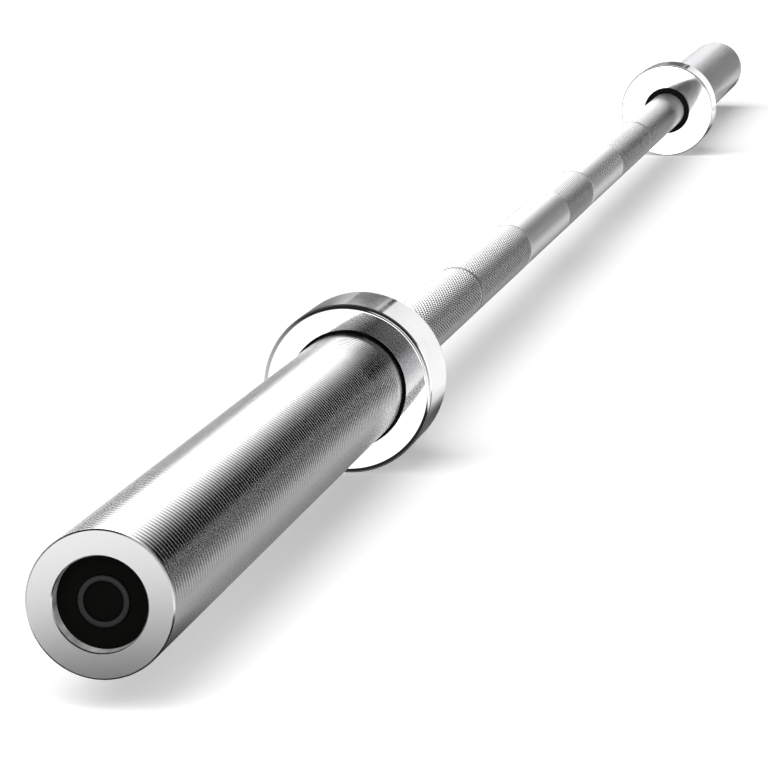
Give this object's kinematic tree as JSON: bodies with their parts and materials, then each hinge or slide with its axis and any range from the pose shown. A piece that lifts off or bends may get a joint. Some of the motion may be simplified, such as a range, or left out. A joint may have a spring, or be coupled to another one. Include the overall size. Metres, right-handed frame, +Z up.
{
  "type": "olympic barbell",
  "caption": "Straight steel weightlifting bar with a knurled shaft, flanged collars and revolving grooved sleeves on needle bearings.",
  "frame": {"origin": "on the bar's axis, half way between the two ends", "axes": "+X along the bar to the right-hand sleeve, +Z up, +Y away from a lifter who stands behind the bar"},
  "size_m": [2.2, 0.075, 0.075],
  "materials": {
    "shaft_chrome": "hard chrome, knurled bands between plain ground ones",
    "sleeve_chrome": "hard chrome over fine turned grooves, end face blasted",
    "collar_chrome": "mirror-polished chrome",
    "seal_rubber": "moulded black rubber",
    "cap_plastic": "moulded black plastic with a raised satin ring",
    "washer_bronze": "machined bronze",
    "bearing_steel": "drawn and ground bearing steel",
    "spring_steel": "oiled spring steel"
  },
  "bodies": {
    "shaft": {"shaft": "shaft_chrome", "left_inner_thrust_washer": "washer_bronze", "left_outer_thrust_washer": "washer_bronze", "left_snap_ring": "spring_steel", "right_inner_thrust_washer": "washer_bronze", "right_outer_thrust_washer": "washer_bronze", "right_snap_ring": "spring_steel"},
    "left_sleeve": {"left_sleeve": "sleeve_chrome", "left_collar": "collar_chrome", "left_dust_seal": "seal_rubber", "left_end_cap": "cap_plastic", "left_inner_bearing_shell": "bearing_steel", "left_outer_bearing_shell": "bearing_steel"},
    "left_needles": {"left_inner_bearing_cage": "bearing_steel", "left_inner_bearing_rollers": "bearing_steel", "left_outer_bearing_cage": "bearing_steel", "left_outer_bearing_rollers": "bearing_steel"},
    "right_sleeve": {"right_sleeve": "sleeve_chrome", "right_collar": "collar_chrome", "right_dust_seal": "seal_rubber", "right_end_cap": "cap_plastic", "right_inner_bearing_shell": "bearing_steel", "right_outer_bearing_shell": "bearing_steel"},
    "right_needles": {"right_inner_bearing_cage": "bearing_steel", "right_inner_bearing_rollers": "bearing_steel", "right_outer_bearing_cage": "bearing_steel", "right_outer_bearing_rollers": "bearing_steel"}
  },
  "joints": [
    {"name": "left_sleeve_spin", "type": "hinge", "parent": "shaft", "child": "left_sleeve", "pos_m": [-0.8975, 0, 0], "axis": [1, 0, 0], "continuous": true},
    {"name": "left_needles_spin", "type": "hinge", "parent": "shaft", "child": "left_needles", "pos_m": [-0.8975, 0, 0], "axis": [1, 0, 0], "continuous": true},
    {"name": "right_sleeve_spin", "type": "hinge", "parent": "shaft", "child": "right_sleeve", "pos_m": [0.8975, 0, 0], "axis": [1, 0, 0], "continuous": true},
    {"name": "right_needles_spin", "type": "hinge", "parent": "shaft", "child": "right_needles", "pos_m": [0.8975, 0, 0], "axis": [1, 0, 0], "continuous": true}
  ],
  "couplings": [
    {"joint": "left_needles_spin", "follows": "left_sleeve_spin", "ratio": 0.5464},
    {"joint": "right_needles_spin", "follows": "right_sleeve_spin", "ratio": 0.5464}
  ]
}
